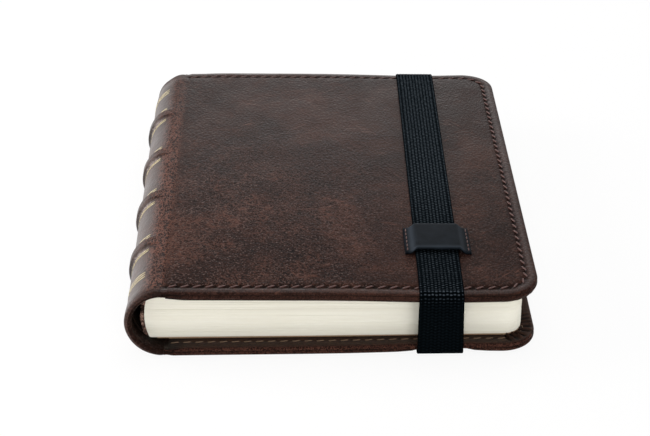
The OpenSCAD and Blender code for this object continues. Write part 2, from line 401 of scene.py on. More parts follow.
def waxed_leather(name, deep, middle, warm, worn):
    """Waxed brown hide: clouded colour, pebbled grain with pale veins and painted glints, fine strands,
    crinkled joints and painted shade.
    """
    hide = Finish(name)
    flat = hide.place()
    long = hide.place((1, 0.6, 1))
    grained = hide.field("grain")
    rub = hide.field("rub")
    base = hide.shades(hide.noise(flat, 34, 4, 0.55, 0.7), (0.36, deep), (0.52, middle), (0.7, warm))
    speck = hide.noise(flat, 0.9, 2, 0.6)
    flecks = hide.shades(speck, (0.37, (0.2, 0.2, 0.2)), (0.65, (2.1, 2.05, 2.0)))
    flecked = hide.mixed(1.0, base, flecks, "MULTIPLY")
    base = hide.mixed(hide.spread(grained, 0.0, 1.0, 0.15, 1.0), base, flecked)
    # Painted glints: pale pinkish-grey pinpoints on the grain, strongest where the grain field is.
    pale_glint = hide.spread(hide.noise(flat, 0.7, 2, 0.5), 0.58, 0.67)
    base = hide.mixed(hide.times(pale_glint, grained, 0.7), base, (0.15, 0.1, 0.088))
    patch = hide.spread(hide.noise(flat, 18, 3, 0.6), 0.38, 0.62, 0.1, 1.0)
    line = hide.from_half(hide.noise(long, 1.5, 2, 0.6, 0.4))
    vein = hide.times(hide.spread(line, 0.0, 0.045, 1.0, 0.0), patch, grained)
    base = hide.mixed(hide.times(vein, 0.7), base, worn)
    for angle, size in ((0.12, 1.1), (0.85, 0.9), (-0.75, 0.9)):
        strand = hide.spread(hide.noise(hide.streaks(angle, 7), size, 3, 0.6), 0.54, 0.74)
        bundle = hide.spread(hide.noise(hide.streaks(angle, 2), 15, 2), 0.52, 0.66)
        base = hide.mixed(hide.times(strand, bundle, 0.55), base, worn)
        fold = hide.from_half(hide.noise(hide.streaks(angle, 1.6), 7, 1, 0.4, 0.8))
        crease = hide.spread(fold, 0.003, 0.02, 1.0, 0.0)
        base = hide.mixed(hide.times(crease, patch, grained, 0.5), base, worn)
    furrow = hide.from_half(hide.noise(hide.place((1, 0.5, 1)), 1.0, 2, 0.6, 0.4))
    wrinkle = hide.spread(furrow, 0.0, 0.085, 1.0, 0.0)
    crinkle = hide.shades(wrinkle, (0.1, (0.016, 0.007, 0.0054)), (0.9, (0.176, 0.073, 0.05)))
    base = hide.mixed(rub, base, crinkle)
    # Painted shade: near-black in needle holes, furrows, creases and hollows, as the points' field gives it.
    base = hide.mixed(hide.field("pinch"), base, (0.006, 0.004, 0.003))
    height = hide.plus(hide.pebbles(long, 0.75), hide.times(speck, 0.9), hide.times(vein, 0.5),
                       hide.times(rub, wrinkle, 0.9))
    return hide.surface(
        Base_Color=base, Specular_IOR_Level=hide.field("shine"), Specular_Tint=(1.0, 0.88, 0.85),
        Roughness=hide.spread(hide.noise(flat, 9, 4, 0.6), 0.3, 0.7, 0.28, 0.42),
        Normal=hide.raised(height, 0.7, 0.22))


def matt_leather():
    """Split leather: a soft nap with darker and lighter fibres, darkened by painted shade in its folds, at
    its holes and in hollows.
    """
    hide = Finish("lining_leather")
    nap = hide.noise(hide.place(), 1.2, 5, 0.7)
    tone = hide.shades(nap, (0.3, (0.009, 0.0042, 0.003)), (0.72, (0.05, 0.022, 0.013)))
    # Painted shade in the lining's folds, at its holes and in hollows.
    tone = hide.mixed(hide.field("pinch"), tone, (0.003, 0.0016, 0.0012))
    return hide.surface(Base_Color=tone, Roughness=0.6, Specular_IOR_Level=0.12,
                        Normal=hide.raised(nap, 0.6, 0.25))


def smooth_black_leather():
    """Finished black leather with a fine grain, and a paler bluish painted highlight on its bevelled edges
    and slopes.
    """
    hide = Finish("black_leather")
    flat = hide.place()
    cloud = hide.noise(flat, 5, 3)
    tone = hide.shades(cloud, (0.3, (0.0034, 0.005, 0.007)), (0.7, (0.008, 0.011, 0.0148)))
    # Painted highlight: paler and bluish where the keeper's field is high, on its slopes and bevelled edges.
    tone = hide.mixed(hide.field("rub"), tone, (0.042, 0.053, 0.067))
    return hide.surface(Base_Color=tone, Roughness=0.42, Specular_IOR_Level=0.02,
                        Normal=hide.raised(hide.pebbles(flat, 0.5), 0.2, 0.08))


def waxed_thread(name, deep, light):
    """Twisted thread, with painted highlights on its strands, which turn round it along its length, and
    painted shade in the lays and in its holes.
    """
    thread = Finish(name)
    tone = thread.shades(thread.field("strand"), (0.05, (0.002, 0.0014, 0.0012)), (0.3, deep), (0.9, light))
    return thread.surface(Base_Color=tone, Roughness=0.45, Specular_IOR_Level=0.25)


def leaf_paper():
    """Cream paper. Each leaf edge has its own tone, with painted shade in the gaps where a leaf stands back,
    and the edges have faint drifts along them.
    """
    paper = Finish("cream_paper")
    drift = paper.noise(paper.place((0.04, 0.04, 1)), 0.9, 4, 0.6)
    fleck = paper.noise(paper.place(), 0.5, 3, 0.7)
    shade = paper.spread(paper.field("leaf"), 0.0, 1.0, 0.0, 0.5)
    tone = paper.shades(drift, (0.3, (0.895, 0.865, 0.75)), (0.62, (0.92, 0.895, 0.79)))
    tone = paper.mixed(shade, tone, (0.56, 0.51, 0.4))
    tone = paper.mixed(paper.spread(fleck, 0.6, 0.8, 0.0, 0.08), tone, (0.55, 0.47, 0.34))
    return paper.surface(Base_Color=tone, Roughness=0.8, Normal=paper.raised(fleck, 0.12, 0.05))


def end_paper():
    """Tan end paper with fine fibres."""
    paper = Finish("tan_end_paper")
    fibre = paper.noise(paper.place((1, 0.35, 1)), 0.7, 5, 0.7)
    cloud = paper.noise(paper.place(), 30, 3)
    tone = paper.shades(fibre, (0.3, (0.27, 0.165, 0.09)), (0.7, (0.37, 0.24, 0.14)))
    tone = paper.mixed(paper.spread(cloud, 0.3, 0.7, 0.0, 0.3), tone, (0.3, 0.175, 0.095))
    return paper.surface(Base_Color=tone, Roughness=0.8, Normal=paper.raised(fibre, 0.15, 0.05))


def fibre_cloth():
    """Brown fibrous cloth, with pale loose fibres along it."""
    cloth = Finish("fibre_cloth")
    fibre = cloth.noise(cloth.place((1, 1, 0.7)), 0.8, 4, 0.75, 0.5)
    tone = cloth.shades(fibre, (0.4, (0.02, 0.01, 0.007)), (0.52, (0.12, 0.06, 0.04)),
                        (0.62, (0.4, 0.25, 0.19)))
    return cloth.surface(Base_Color=tone, Roughness=0.9, Normal=cloth.raised(fibre, 0.9, 0.4))


def pulp_board(name, deep, light):
    """Pulp board with flecks."""
    board = Finish(name)
    fleck = board.noise(board.place(), 0.8, 5, 0.75)
    tone = board.shades(fleck, (0.3, deep), (0.7, light))
    return board.surface(Base_Color=tone, Roughness=0.88, Specular_IOR_Level=0.05,
                         Normal=board.raised(fleck, 0.3, 0.1))


def woven_elastic():
    """Blue-black woven rubber: ribs along the band, crossed by close picks. Its colour is painted light:
    glints on the picks along the ribs' tops, lighter rib crests and more light where the band faces up and
    towards the head.

    The picks are a sine along the band, shifted from rib to rib. At the upper bends the glints are rows of
    dots.
    """
    band = Finish("woven_elastic")
    rib = band.field("rib")
    phase = band.times(band.field("along"), 2 * math.pi / PICK_PITCH)
    shift = band.maths("SINE", band.times(band.field("across"), 2 * math.pi / TWO_RIBS))
    pick = band.maths("SINE", band.plus(phase, band.times(shift, 1.5)))
    fuzz = band.noise(band.place(), 0.7, 3, 0.7)
    thread = band.plus(band.times(pick, 0.22), fuzz)
    # Painted light: lighter rib crests, and more light where the band faces up and towards the head.
    rib_crest_light = band.spread(rib, 0.4, 1.0, 0.64, 1.0)
    top_light = band.spread(band.field("flat"), 0.0, 1.0, 0.5, 1.0)
    # Painted glints: rows of bright dots on the ribs at the upper bends.
    rows = band.spread(band.maths("SINE", phase), 0.1, 0.9)
    dots = band.times(rows, band.spread(rib, 0.4, 1.0, 0.3, 1.0))
    bend = band.times(band.field("bend"), band.spread(dots, 0.0, 1.0, -0.12, 0.26))
    painted_light = band.plus(band.times(thread, rib_crest_light, top_light), bend)
    tone = band.shades(painted_light, (0.1, (0.0008, 0.0014, 0.0018)), (0.42, (0.004, 0.0062, 0.008)),
                       (0.75, (0.055, 0.068, 0.08)))
    height = band.plus(band.times(pick, 0.4), band.times(fuzz, 0.5))
    return band.surface(Base_Color=tone, Roughness=0.75, Specular_IOR_Level=0.0,
                        Normal=band.raised(height, 0.5, 0.12))


def pressed_gold():
    """Gold foil pressed into leather, rubbed through in small spots."""
    foil = Finish("pressed_gold")
    spot = foil.noise(foil.place(), 0.9, 4, 0.7)
    gone = foil.spread(foil.plus(spot, foil.field("wear")), 0.6, 0.7)
    return foil.surface(
        Base_Color=foil.mixed(gone, (1.0, 0.86, 0.5), (0.12, 0.075, 0.05)),
        Metallic=foil.spread(gone, 0.0, 1.0, 0.35, 0.0),
        Roughness=foil.spread(spot, 0.3, 0.7, 0.28, 0.5),
        Coat_Weight=0.7, Coat_Roughness=0.3, Normal=foil.raised(spot, 0.2, 0.05))


COVER_LEATHER = waxed_leather("waxed_leather", (0.0092, 0.004, 0.0031), (0.0155, 0.0069, 0.0053),
                              (0.03, 0.0133, 0.0097), (0.1, 0.044, 0.031))
LINING_LEATHER = matt_leather()
KEEPER_LEATHER = smooth_black_leather()
ROW_THREAD = waxed_thread("row_thread", (0.028, 0.012, 0.01), (0.13, 0.064, 0.055))
LINING_THREAD = waxed_thread("lining_thread", (0.055, 0.03, 0.019), (0.26, 0.165, 0.105))
FOLD_THREAD = waxed_thread("fold_thread", (0.5, 0.46, 0.38), (0.72, 0.68, 0.58))
CREAM_PAPER = leaf_paper()
TAN_PAPER = end_paper()
CLOTH = fibre_cloth()
BOARD = pulp_board("pulp_board", (0.14, 0.11, 0.085), (0.24, 0.2, 0.16))
# The spine liner's board is near-black: painted shade of the spine's hollow.
HOLLOW_SHADE_BOARD = pulp_board("hollow_shade_board", (0.006, 0.0035, 0.0025), (0.02, 0.011, 0.008))
ELASTIC = woven_elastic()
GOLD = pressed_gold()


# Covers

ROW_SIDE = FAR_X - JOINT_X
ROW_BEND = (CORNER_R - STITCH_INSET) * np.pi / 2
ROW_LENGTHS = np.cumsum([0, ROW_SIDE, ROW_BEND, 2 * FAR_Y, ROW_BEND, ROW_SIDE])
ROW_USED = ROW_LENGTHS[-1] - 2 * STITCH_START
STITCH_COUNT = int(ROW_USED // STITCH_PITCH)
STITCH_STEP = ROW_USED / STITCH_COUNT


def edge_path(run_points, arc_points, fore_points):
    """The three free edges of a cover, from the tail joint round to the head joint.

    Points lie closer together by joint and corners. Gives the corner centres, the outward directions and the
    length along the sewn row.
    """
    fore = shares(fore_points)
    fore = fore - 0.06 * np.sin(2 * np.pi * fore)
    run = shares(run_points) ** 1.35
    part, centres, out = three_edges(run, shares(arc_points), fore, JOINT_X, FAR_X, FAR_Y)
    return centres, out, np.interp(part, np.arange(6), ROW_LENGTHS)


def edge_distance(x, y):
    """Distance inwards from a cover's free edges: the corner radius less the way past the corner centre."""
    past_x = x - FAR_X
    past_y = np.abs(y) - FAR_Y
    outside = np.hypot(np.maximum(past_x, 0), np.maximum(past_y, 0))
    return CORNER_R - outside - np.minimum(np.maximum(past_x, past_y), 0)


def across_patch(edge, left_y):
    """Points inside a four-sided outline: each side pulled across and the doubled corners taken off.

    The outline's path runs along the tail, up the fore edge and back along the head. The fourth side is
    the straight line by the joint, at the given places along it.
    """
    count = (len(edge) - len(left_y)) // 2 + 1
    tail = edge[:count]
    fore = edge[count - 1:count - 1 + len(left_y)]
    head = edge[count - 2 + len(left_y):][::-1]
    left = np.stack([np.interp(left_y, left_y[[0, -1]], [tail[0, 0], head[0, 0]]), left_y], -1)
    u = np.linspace(0, 1, count)[:, None, None]
    v = np.linspace(0, 1, len(left_y))[None, :, None]
    sides = (1 - v) * tail[:, None] + v * head[:, None] + (1 - u) * left[None] + u * fore[None]
    corners = (1 - u) * ((1 - v) * tail[0] + v * head[0]) + u * ((1 - v) * tail[-1] + v * head[-1])
    return sides - corners


def cover_sheet(mesh, start_x, inset, outer, inner, round_in, notch=0.0, notch_at=0.0):
    """A closed sheet with a cover's outline: two faces and an edge rolled between them.

    The outer and inner faces are heights over the plan. The edge is half a squared ellipse from one to the
    other, and may have a notch along it, a bell-shaped dent at a height between -1 and 1. The band beside the
    edges is a section carried along the edge path, and the rest of each face is a patch inside it.
    Returns the points, the faces, and for each point its distance from the edge and place along the row.
    """
    counts, rows = mesh
    centres, out, row = edge_path(*counts)
    centres = centres + [[start_x - JOINT_X, 0]] * ease(0, 1, (FAR_X - centres[:, :1]) / 60)
    depths = np.linspace(RIM_BAND, inset + round_in, rows)
    roll = np.linspace(np.pi / 2, -np.pi / 2, 21)[1:-1]
    rise = np.sign(roll) * np.abs(np.sin(roll)) ** EDGE_SQUARE
    edge_in = inset + round_in * (1 - np.cos(roll) ** EDGE_SQUARE) + notch * bump(rise - notch_at, 0.2)
    inward = np.concatenate([depths, edge_in, depths[::-1]])
    plan = centres[None] + (CORNER_R - inward)[:, None, None] * out[None]
    x, y = plan[..., 0], plan[..., 1]
    distance = np.broadcast_to(inward[:, None], x.shape)
    along = np.broadcast_to(row[None], x.shape)
    lip = [values[rows - 1] for values in (x, y, distance, along)]
    share = np.concatenate([np.ones(rows), (1 + rise) / 2, np.zeros(rows)])[:, None]
    edge = np.zeros_like(share, bool)
    edge[rows:-rows] = True
    faced = np.where(share > 0.5, outer(x, y, distance, along), inner(x, y, distance, along))
    height = np.where(edge, share * outer(*lip) + (1 - share) * inner(*lip), faced)
    band = np.stack([x, y, height], -1)
    total_rows, path_points = x.shape

    left_count = counts[1] + counts[2] + 1
    left_y = band[0, :, 1][counts[0] + counts[1] // 2:][:left_count]
    left_y = left_y / left_y[-1] * (HALF_L - RIM_BAND)
    patch = across_patch(band[0, :, :2], left_y)
    px, py = patch[..., 0], patch[..., 1]
    deep = np.maximum(edge_distance(px, py), RIM_BAND)
    nowhere = np.zeros_like(px)

    ids = np.arange(px.size).reshape(px.shape)
    count = px.shape[0]
    last = left_count - 1
    faces = [grid_faces(total_rows, path_points)]
    points = [band.reshape(-1, 3)]
    start = len(points[0])
    left_columns = []
    for face, band_row in ((outer, 0), (inner, total_rows - 1)):
        path_ids = band_row * path_points + np.arange(path_points)
        renamed = ids + start
        renamed[:, 0] = path_ids[:count]
        renamed[-1, :] = path_ids[count - 1:count + last]
        renamed[:, -1] = path_ids[count - 1 + last:][::-1]
        quads = renamed.ravel()[grid_faces(*px.shape)]
        faces.append(quads if band_row == 0 else quads[:, ::-1])
        left_columns.append(renamed[0])
        points.append(xyz(px, py, face(px, py, deep, nowhere)).reshape(-1, 3))
        start += px.size
    wall = np.concatenate([left_columns[0], left_columns[1][::-1]])
    ends = np.arange(total_rows) * path_points
    faces += [pair_faces(wall), pair_faces(ends), pair_faces(ends + path_points - 1)[:, ::-1]]
    faces = np.concatenate(faces)
    inside = np.concatenate([distance.ravel(), deep.ravel(), deep.ravel()])
    placed = np.concatenate([along.ravel(), nowhere.ravel(), nowhere.ravel()])
    used, names = np.unique(faces, return_inverse=True)
    return np.concatenate(points)[used], names.reshape(faces.shape), inside[used], placed[used]


def hole_nearness(along):
    """One at a needle hole and minus one midway between two, along the sewn row."""
    return np.cos(2 * np.pi * (along - STITCH_START) / STITCH_STEP)


def band_pull(x, y):
    """How far the elastic draws a cover's overhang in towards the pages, most at head and tail."""
    return 0.75 * bump(x - ELASTIC_X, 24) * bump(HALF_L - np.abs(y), 5.5)


def joint_hollow(from_joint):
    """Depth of the pressed hollow beside a joint, at a distance from it along the leather."""
    return 0.42 * bump(from_joint - 0.9, 1.35)


def joint_wear(y):
    """How rubbed the leather by the joints is at a place along them: less towards the head."""
    return 1 - 0.55 * ease(10, 80, y)


def head_dip(from_joint, y):
    """How far the leather is drawn down at the head, at a distance along it from the front joint."""
    return 0.75 * bump(from_joint, 9) * ease(HALF_L - 9, HALF_L, y)


def outer_height(x, y, distance, along, dome, seed):
    """Height of a cover's outer face over its plane.

    A low dome, a ridge inside the edge, the sewn furrow that dips at each needle hole, the hollow of the
    joint, the pull of the elastic and slow waves of the hide.
    """
    middle = (FORE_X + JOINT_X) / 2
    reach = (FORE_X - JOINT_X) / 2
    crown = dome * (1 - ((x - middle) / reach) ** 2) * (1 - (y / HALF_L) ** 2)
    ridge = 0.16 * bump(distance - RIDGE_INSET, 0.8)
    sewn_from = ease(JOINT_X + 0.2, JOINT_X + 2.2, x)
    furrow = sewn_from * (0.42 + 0.2 * hole_nearness(along)) * bump(distance - STITCH_INSET, 0.85)
    hide = 0.05 * waves(x, y, seed, 42) * ease(2, 9, distance) * ease(2, 12, x - JOINT_X)
    return crown + ridge - furrow - joint_hollow(x - JOINT_X) - band_pull(x, y) + hide


def edge_droop(x, distance):
    """How far the soft rim outside the board hangs towards the pages, at a distance from the edge."""
    return EDGE_DROOP * (1 - ease(0, 6.5, distance)) * ease(0, 9, x - JOINT_X)


def front_outer(x, y, distance, along):
    """Outer face of the front cover: domed, with half of the rim's droop, and drawn down at the head."""
    droop = 0.5 * edge_droop(x, distance)
    return outer_height(x, y, distance, along, 0.3, 5) - droop - head_dip(x - JOINT_X, y)


def elastic_bed(x):
    """Depth of the soft channel that the elastic presses into the back cover."""
    beside = np.abs(x - ELASTIC_X) - ELASTIC_W / 2
    return (ELASTIC_T + 0.1) * (1 - 0.6 * ease(0.1, 3, beside) - 0.4 * ease(0.1, 9, beside))


def back_outer(x, y, distance, along):
    """Outer face of the back cover: pressed flat by the table, with the channel of the elastic."""
    return np.minimum(outer_height(x, y, distance, along, 0.0, 9), 0.1) - 0.1 - elastic_bed(x)


def rim_under(x, y, distance, along):
    """Underside of the leather, a plane that follows the pull of the elastic and the soft rim."""
    return -RIM_T - band_pull(x, y) - edge_droop(x, distance)


def pleats(x, y, distance):
    """Pleats of a turned corner, between about minus one and one.

    Waves in the angle about the corner's centre, which run on a little way along the fore edge.
    """
    past_x = np.maximum(x - FAR_X, 0)
    past_y = np.abs(y) - FAR_Y
    turn = np.where(past_y > 0, np.arctan2(past_y, past_x + 1e-9), past_y / 8)
    fan = ease(0, 0.4, np.pi / 2 - turn) * ease(-1.5, 0, turn) * ease(0, 2, past_x)
    fold = np.cos(turn * 22) + 0.4 * np.cos(turn * 37 + 1)
    return fan * fold * bump(distance - 4.5, 3.4) * ease(0.3, 1.8, distance)


def lining_face(x, y, distance, along):
    """Free face of the lining: sewn furrow, pleats at the fore corners and the hang of the soft rim."""
    furrow = (0.3 + 0.15 * hole_nearness(along)) * bump(distance - STITCH_INSET, 0.8)
    return -COVER_T - band_pull(x, y) - edge_droop(x, distance) + furrow - 0.7 * pleats(x, y, distance)


def lining_back(x, y, distance, along):
    """Glued face of the lining, a little way inside the leather's underside."""
    return rim_under(x, y, distance, along) + 0.05


def level(height):
    """A flat face at one height."""
    return lambda x, y, distance, along: height + 0 * x


def lean(x):
    """How far the closed front cover has come down at a place, in proportion to the way from the joint."""
    return FRONT_LEAN * np.clip((x - JOINT_X) / (FORE_X - JOINT_X), 0, 1)


def on_cover(points, front):
    """Cover points with their height from the outer face turned to a place on the front or the back."""
    placed = points.copy()
    placed[:, 2] = BOOK_T + points[:, 2] - lean(points[:, 0]) if front else -points[:, 2]
    return placed


def cover_fields(points, distance, along, front):
    """Numbers for the leather's finish at a cover's points.

    Wear is high by the joint, on the ridge and on the edge. Painted shade is high at the needle holes, in the
    sewn furrow, in the crack along the edge and under the joint. Shine grows towards the head, and grain
    towards tail and spine. On the front cover the edge is less rubbed and its crack is nearer the outer face.
    """
    x, y, z = points.T
    on_edge = distance < EDGE_ROUND
    on_ridge = 0.12 * bump(distance - RIDGE_INSET, 0.9)
    from_crack = z + (1.35 if front else 1.75)
    inside = ease(1.5, 6, distance) * (z > -1.2)
    rub = 0.8 * joint_wear(y) * bump(x - JOINT_X, 1.1) * inside + on_ridge
    rub = rub + (0.12 if front else 0.4) * on_edge
    rub = rub + (0.2 if front else 0.5) * bump(from_crack + 0.42, 0.24) * on_edge
    # Painted shade: darker at the needle holes, in the sewn furrow, in the crack along the edge and on the
    # underside by the joint.
    near_hole = ease(0.2, 0.8, hole_nearness(along)) * bump(distance - STITCH_INSET, 0.65)
    furrow = 0.3 * bump(distance - STITCH_INSET, 0.75) * (along > 0)
    crack = 0.85 * bump(from_crack, 0.26) * on_edge
    under = 0.65 * ease(0.7, 1.6, -z) * (1 - ease(0, 9, x - JOINT_X))
    pinch = near_hole + furrow + crack + under
    shine = 0.024 + 0.038 * ease(-80, 60, y) + on_ridge
    grain = (1 - 0.75 * ease(-45, 50, y)) * (0.25 + 0.75 * ease(2, 5, distance))
    grain = grain * (1 - 0.6 * ease(-30, 40, x))
    return {"rub": rub.clip(0, 1), "pinch": pinch.clip(0, 0.95), "shine": shine, "grain": grain}


def past_joint(points, front):
    """Cover points with the underside drawn out past the joint, inside the spine's own leather.

    The way is a step in depth that fades away from the joint and at both ends. On the front cover it is
    longer near the head, where the closed leather is drawn down. It fills the joint of the opened book.
    """
    x, y, z = points.T
    deep = ease(1.3, 1.9, -z)
    near = 1 - ease(0, 3, x - JOINT_X)
    within = ease(0, 1.2, HALF_L - np.abs(y))
    reach = PAST_JOINT * (1 + (1 if front else 0) * ease(HALF_L - 12, HALF_L - 7, y))
    return np.stack([x - reach * deep * near * within, y, z], -1)


COVERS = ("front", "front_case", front_outer, 0.15), ("back", "back_case", back_outer, -0.13)


def make_covers():
    """Outer leather and lining of both covers, and the front cover's board and pasted paper."""
    for side, body, face, crack_at in COVERS:
        front = side == "front"
        points, faces, distance, along = cover_sheet(
            LEATHER_MESH, JOINT_X, 0.0, face, rim_under, EDGE_ROUND, EDGE_CRACK, crack_at)
        fields = cover_fields(points, distance, along, front)
        filled = past_joint(points, front)
        piece(f"{side}_cover_leather", on_cover(filled, front), faces, COVER_LEATHER, body,
              "brown_leather", [f"{side}_leather"], **fields)
        points, faces, distance, along = cover_sheet(
            LINING_MESH, LINING_LOW[0], LINING_INSET, lining_back, lining_face, 0.3)
        # Painted shade on the lining: in the troughs of the corner pleats, at its needle holes, under the
        # joint, and a shadow line beside the pasted paper's edge that stays dark further in.
        crease = ease(-0.1, 0.45, -pleats(points[:, 0], points[:, 1], distance))
        crease += 0.7 * ease(0.3, 0.9, hole_nearness(along)) * bump(distance - STITCH_INSET, 0.6)
        crease += 0.75 * (1 - ease(0, 9, points[:, 0] - LINING_LOW[0]))
        crease += 0.85 * ease(5.7, 6.7, distance)
        piece(f"{side}_cover_lining", on_cover(points, front), faces, LINING_LEATHER, body,
              "lining", [f"{side}_lining"], pinch=crease.clip(0, 1))
    for node, material, slot, top, low in (
            ("front_board", BOARD, "board", -1.5, -RIM_T + 0.05),
            ("front_pastedown", TAN_PAPER, "endpaper", -COVER_T + 0.05, -COVER_T - 0.2)):
        sheet = cover_sheet(FLAT_MESH, LINING_LOW[0], BOARD_INSET, level(top), level(low), 0.05)
        piece(f"{node}_sheet", on_cover(sheet[0], True), sheet[1], material, "front_case", slot, [node])


# Sewing

def stitch_shape():
    """One stitch: a round thread that rises from a hole and goes down into the next, with twisted strands.

    The section is a circle swollen by two strands that turn along the thread. Returns points and a number for
    painted light: high on the strands' crests, lower in the lays between them and none at the ends, where the
    thread goes into the holes.
    """
    u = np.linspace(-1, 1, 11)[:, None]
    v = 2 * np.pi * shares(6)[None]
    lay = np.cos(2 * v + 5 * u)
    radius = THREAD_R * (1 + 0.1 * lay) * (0.55 + 0.45 * np.sqrt(1 - (0.96 * u) ** 2))
    y = radius * np.cos(v) + 0.1 * np.sin(np.pi * u)
    z = 0.75 * radius * np.sin(v) + 0.42 * (1 - u ** 4) - 0.27
    # Painted light along the thread: lighter on the strands' crests, darker in the lays, black at the holes.
    strand = (0.3 + 0.35 * (lay + 1)) * (1 - ease(0.7, 0.86, np.abs(u)))
    return xyz(u * STITCH_L / 2, y, z), strand


def sewn(name, places, headings, normals, slant, body, stands_for=(), size=1.0, thread=ROW_THREAD):
    """A row of stitches, each laid at its place along its heading, turned by the slant about its normal."""
    shape, strand = stitch_shape()
    shape = shape * size
    side = np.cross(normals, headings)
    forward = headings * np.cos(slant) + side * np.sin(slant)
    turned = np.stack([forward, np.cross(normals, forward), normals], 1)
    points = places[:, None, None] + np.einsum("uvk,nkj->nuvj", shape, turned)
    return piece(name, points, repeated(shape, len(places)), thread, body, "thread", stands_for, crisp=180,
                 strand=np.tile(strand.ravel(), len(places)))


def sewn_places(face, outer):
    """Places, headings and normals of a cover's stitches on its outer or inner face, as heights."""
    centres, out, row = edge_path(400, 60, 400)
    spots = STITCH_START + (np.arange(STITCH_COUNT) + 0.5) * STITCH_STEP
    centre = np.stack([np.interp(spots, row, centres[:, i]) for i in (0, 1)], -1)
    normal = np.stack([np.interp(spots, row, out[:, i]) for i in (0, 1)], -1)
    normal /= np.linalg.norm(normal, axis=1, keepdims=True)
    plan = centre + (CORNER_R - STITCH_INSET) * normal
    height = face(plan[:, 0], plan[:, 1], np.full(len(spots), STITCH_INSET), spots)
    if not outer:
        height = height + ease(0.1, 0.6, np.abs(normal[:, 0] * normal[:, 1]))
    heading = xyz(-normal[:, 1], normal[:, 0], 0)
    up = xyz(0 * spots, 0, 1 if outer else -1)
    return xyz(plan[:, 0], plan[:, 1], height), heading, up


def make_cover_sewing():
    """The sewn row of each cover, seen on its outer face and, finer and straighter, on its lining."""
    for side, body, face, _ in COVERS:
        front = side == "front"
        for name, height, outer, size, thread, slant in (
                ("sewn_row", face, True, 1.0, ROW_THREAD, STITCH_SLANT),
                ("lining_row", lining_face, False, (0.97, 0.62, 0.75), LINING_THREAD, 0.25 * STITCH_SLANT)):
            places, headings, normals = sewn_places(height, outer)
            normals = normals if front else normals * [1, 1, -1]
            sewn(f"{side}_{name}", on_cover(places, front), headings, normals, slant, body,
                 [f"{side}_stitches"], size, thread)


# Spine

def joint_arc(turn):
    """Way round the spine from the nearer joint."""
    return SPINE_R * np.minimum(turn, np.pi - turn)


def spine_radius(turn, y):
    """Outer radius of the spine leather at an angle from the front joint and a place along its length.

    The half-round, less the hollow beside each joint, with raised bands that fade towards the joints, panels
    drawn in between them, a tail end that flares out, a head end that draws in, and slow waves of the hide.
    """
    crest = np.zeros(np.broadcast(turn, y).shape)
    for middle in BAND_PLACES:
        crest = crest + 1 - ease(1.9, 3.9, np.abs(y - middle))
    crown = 0.12 * np.minimum(np.sin(turn), 1)
    reach = ease(math.radians(9), math.radians(40), np.minimum(turn, np.pi - turn))
    ends = ease(HALF_L - 11, HALF_L - 2.5, -y) - 1.2 * ease(HALF_L - 14, HALF_L - 1, y)
    height = (BAND_RISE + crown) * crest - PANEL_SINK * (1 - crest) * (1 - ends)
    hide = 0.05 * waves(30 * turn, y, 21, 40) * reach
    return SPINE_R - joint_hollow(-joint_arc(turn)) - head_dip(SPINE_R * turn, y) + height * reach + hide


def round_spine(turn, y, radius):
    """Points round the line midway between the joints."""
    return xyz(JOINT_X - radius * np.sin(turn), y, SPINE_R + radius * np.cos(turn))


def spine_places():
    """Places along the spine's length, closer together at the bands, the gold rules and the ends."""
    rules = [RULE_INSET - HALF_L, HALF_L - RULE_INSET]
    fine = [np.arange(-6.4, 6.5, 0.4) + middle for middle in BAND_PLACES]
    fine += [np.arange(-3.2, 3.3, 0.4) + middle for middle in rules]
    middles = np.array(BAND_PLACES + rules)
    reach = np.array([6.8] * len(BAND_PLACES) + [3.6] * len(rules))
    coarse = np.arange(-HALF_L + 3, HALF_L - 2.9, 1.6)
    ends = HALF_L - 3 + 1.8 * np.linspace(0, 1, 4)[1:]
    keep = np.min(np.abs(coarse[:, None] - middles[None]) - reach[None], axis=1) > 0
    return np.sort(np.concatenate(fine + [coarse[keep], ends, -ends]))


def gold_places():
    """Places of the gold rules along the spine: pairs beside each band, and threes near head and tail."""
    pairs = [middle + side * (RULE_FROM_BAND + more)
             for middle in BAND_PLACES for side in (-1, 1) for more in (0, PAIR_GAP)]
    threes = [side * (HALF_L - RULE_INSET) + j * THREE_GAP for side in (-1, 1) for j in (-1, 0, 1)]
    return np.array(pairs + threes)


def spine_fields(turn, side):
    """Numbers for the leather's finish on the spine's outer and then its inner face.

    Wear is high by the joints, on the shoulders of the bands and at the tail end. Painted shade is high
    beside the bands at their feet, in the grooves by the gold rules and on the inner face. Shine is high on
    the panels.
    """
    arc = joint_arc(turn)
    from_band = np.min(np.abs(side[:, None] - np.array(BAND_PLACES)[None]), axis=1)
    from_rule = np.min(np.abs(side[:, None] - gold_places()[None]), axis=1)
    from_end = HALF_L - np.abs(side)
    on_band = 1 - ease(2.6, 4.2, from_band)
    tail_end = ease(HALF_L - 6, HALF_L - 1, -side) * ease(2, 16, arc)
    rub = 0.85 * joint_wear(side) * (1 - ease(4, 9, arc)) * ease(1, 5, from_end)
    rub = rub + 0.3 * on_band * ease(4, 9, arc) * (1 - ease(9, 17, arc)) + 0.25 * tail_end
    # Painted shade: shadow lines at the feet of the bands and dark grooves beside the gold rules.
    band_and_rule_shade = 0.75 * bump(from_band - 3.2, 0.9) + 0.55 * (from_band > 4) * bump(from_rule, 0.9)
    polish = ease(3, 13, arc) * (1 - ease(HALF_L - 7, HALF_L - 2, np.abs(side))) * (1 - 0.85 * on_band)
    inside = np.zeros_like(rub)
    return {
        "rub": np.concatenate([rub.clip(0, 1), inside], 1),
        # Painted shade on the inner face, darker away from the ends.
        "pinch": np.concatenate([band_and_rule_shade * ease(4, 8, arc), 0.25 + 0.65 * ease(3, 7, from_end) + inside], 1),
        "shine": np.concatenate([0.06 + 1.5 * polish + 0.18 * tail_end, 0.02 + inside], 1),
        "grain": 0.3,
    }


